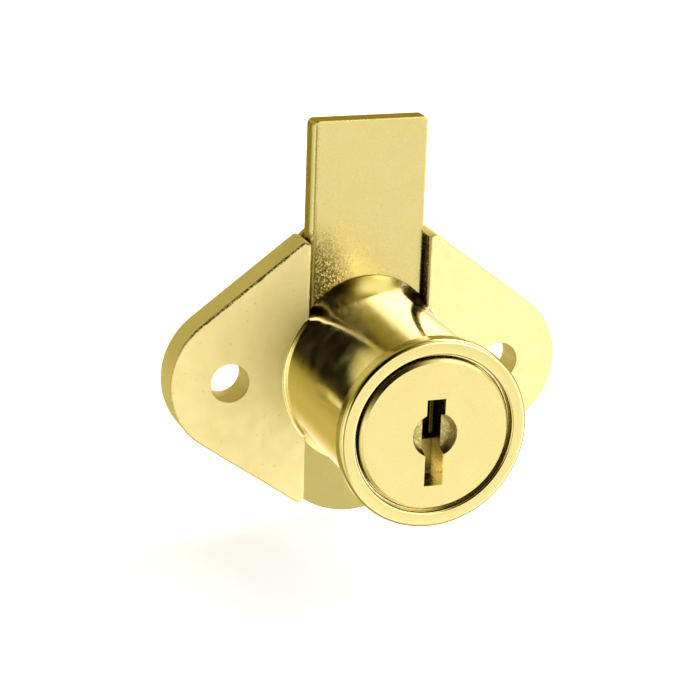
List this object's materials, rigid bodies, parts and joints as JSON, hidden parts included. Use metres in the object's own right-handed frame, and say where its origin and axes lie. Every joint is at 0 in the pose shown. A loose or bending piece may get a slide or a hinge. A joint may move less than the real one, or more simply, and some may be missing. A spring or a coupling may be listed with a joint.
{
  "type": "drawer lock",
  "caption": "Screw-on drawer lock: a keyed disc tumbler plug in a round barrel lifts and draws back a flat dead bolt between flange lobes.",
  "frame": {"origin": "on the barrel's axis in the front plane of the flange, midway between the two screw holes", "axes": "+X along the screw holes, -Y out of the barrel's mouth, +Z along the thrown bolt"},
  "size_m": [0.0544, 0.0315, 0.0557],
  "materials": {
    "plated_casting": "brass plated die casting, bright, with a cast grain",
    "plated_ring": "polished brass plated pressing",
    "plated_plug": "brass plated die casting, satin face",
    "plated_bolt": "brass plated die casting with a fine cast grain",
    "plated_plate": "brass plated sheet, dull where it lies deep",
    "disc_brass": "stamped brass sheet, plain",
    "hard_steel": "ground steel pin",
    "spring_steel": "spring wire"
  },
  "bodies": {
    "lock_case": {"housing": "plated_casting", "bezel_ring": "plated_ring", "back_cover": "plated_plate"},
    "plug": {"plug": "plated_plug", "drive_pin": "hard_steel", "plug_retainer": "disc_brass", "retainer_spring": "spring_steel", "disc_spring_1": "spring_steel", "disc_spring_2": "spring_steel", "disc_spring_3": "spring_steel", "disc_spring_4": "spring_steel", "disc_spring_5": "spring_steel", "disc_spring_6": "spring_steel"},
    "disc_1": {"disc_tumbler_1": "disc_brass"},
    "disc_2": {"disc_tumbler_2": "disc_brass"},
    "disc_3": {"disc_tumbler_3": "disc_brass"},
    "disc_4": {"disc_tumbler_4": "disc_brass"},
    "disc_5": {"disc_tumbler_5": "disc_brass"},
    "disc_6": {"disc_tumbler_6": "disc_brass"},
    "bolt": {"bolt": "plated_bolt"}
  },
  "joints": [
    {"name": "plug_turn", "type": "hinge", "parent": "lock_case", "child": "plug", "pos_m": [0, 0, 0], "axis": [0, 1, 0], "range_deg": [0, 180]},
    {"name": "bolt_slide", "type": "slide", "parent": "lock_case", "child": "bolt", "axis": [0, 0, -1], "range_m": [0, 0.00952]},
    {"name": "disc_1_slide", "type": "slide", "parent": "plug", "child": "disc_1", "axis": [0, 0, 1], "range_m": [0, 0.0008], "deforming": ["disc_spring_1"]},
    {"name": "disc_2_slide", "type": "slide", "parent": "plug", "child": "disc_2", "axis": [0, 0, 1], "range_m": [0, 0.0008], "deforming": ["disc_spring_2"]},
    {"name": "disc_3_slide", "type": "slide", "parent": "plug", "child": "disc_3", "axis": [0, 0, 1], "range_m": [0, 0.0008], "deforming": ["disc_spring_3"]},
    {"name": "disc_4_slide", "type": "slide", "parent": "plug", "child": "disc_4", "axis": [0, 0, 1], "range_m": [0, 0.0008], "deforming": ["disc_spring_4"]},
    {"name": "disc_5_slide", "type": "slide", "parent": "plug", "child": "disc_5", "axis": [0, 0, 1], "range_m": [0, 0.0008], "deforming": ["disc_spring_5"]},
    {"name": "disc_6_slide", "type": "slide", "parent": "plug", "child": "disc_6", "axis": [0, 0, 1], "range_m": [0, 0.0008], "deforming": ["disc_spring_6"]}
  ],
  "couplings": [
    {"joint": "bolt_slide", "follows": "plug_turn", "m_per_rad": 0.0030303}
  ]
}
